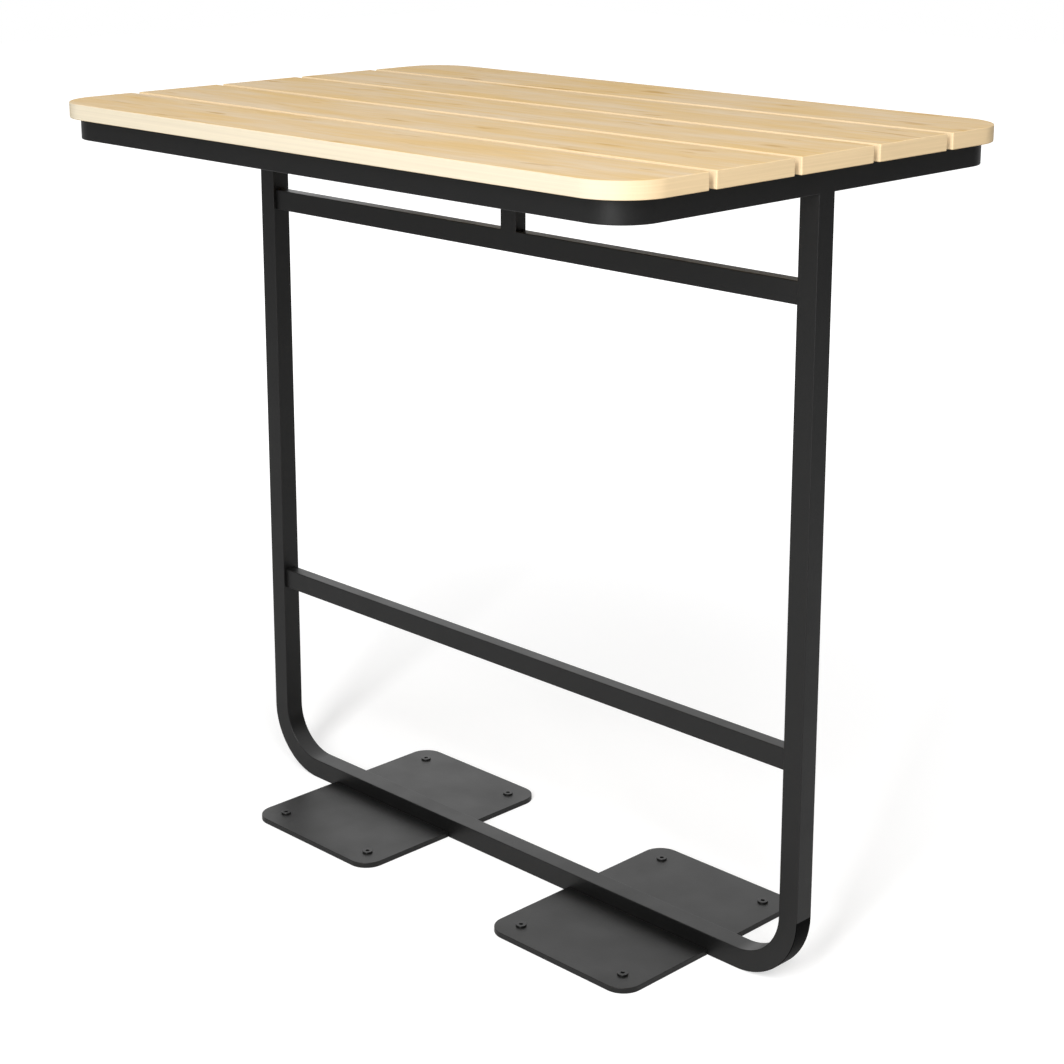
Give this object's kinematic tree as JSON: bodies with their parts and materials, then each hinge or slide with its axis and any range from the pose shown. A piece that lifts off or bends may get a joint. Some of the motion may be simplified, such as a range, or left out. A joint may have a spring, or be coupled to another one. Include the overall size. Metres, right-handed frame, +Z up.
{
  "type": "bar table",
  "caption": "Tall rectangular bar table: slatted pale wood top with rounded corners on a black welded square-tube portal frame with foot rail and flat foot plates.",
  "frame": {"origin": "on the floor, under the middle of the table top, at the level of the underside of the foot plates and floor tube", "axes": "+X along the table, +Y across it towards the back, +Z up"},
  "size_m": [1.1, 0.748, 1.102],
  "materials": {
    "oiled_ash": "oiled, satin, lengthwise grain",
    "black_powder_coat": "fine-textured matt powder coat",
    "black_bush": "matt black",
    "zinc_screw": "bright zinc plated"
  },
  "bodies": {
    "root": {"slat_front": "oiled_ash", "slat_front_inner": "oiled_ash", "slat_middle": "oiled_ash", "slat_back_inner": "oiled_ash", "slat_back": "oiled_ash", "screws_slat_front": "zinc_screw", "screws_slat_front_inner": "zinc_screw", "screws_slat_middle": "zinc_screw", "screws_slat_back_inner": "zinc_screw", "screws_slat_back": "zinc_screw", "top_hoop": "black_powder_coat", "cross_bearer": "black_powder_coat", "leg_left": "black_powder_coat", "leg_right": "black_powder_coat", "centre_post": "black_powder_coat", "upper_rail": "black_powder_coat", "foot_rail": "black_powder_coat", "elbow_left": "black_powder_coat", "elbow_right": "black_powder_coat", "floor_tube": "black_powder_coat", "plate_left_front": "black_powder_coat", "plate_left_back": "black_powder_coat", "plate_right_front": "black_powder_coat", "plate_right_back": "black_powder_coat", "fixing_bushes_left": "black_bush", "fixing_bushes_right": "black_bush"}
  },
  "joints": []
}
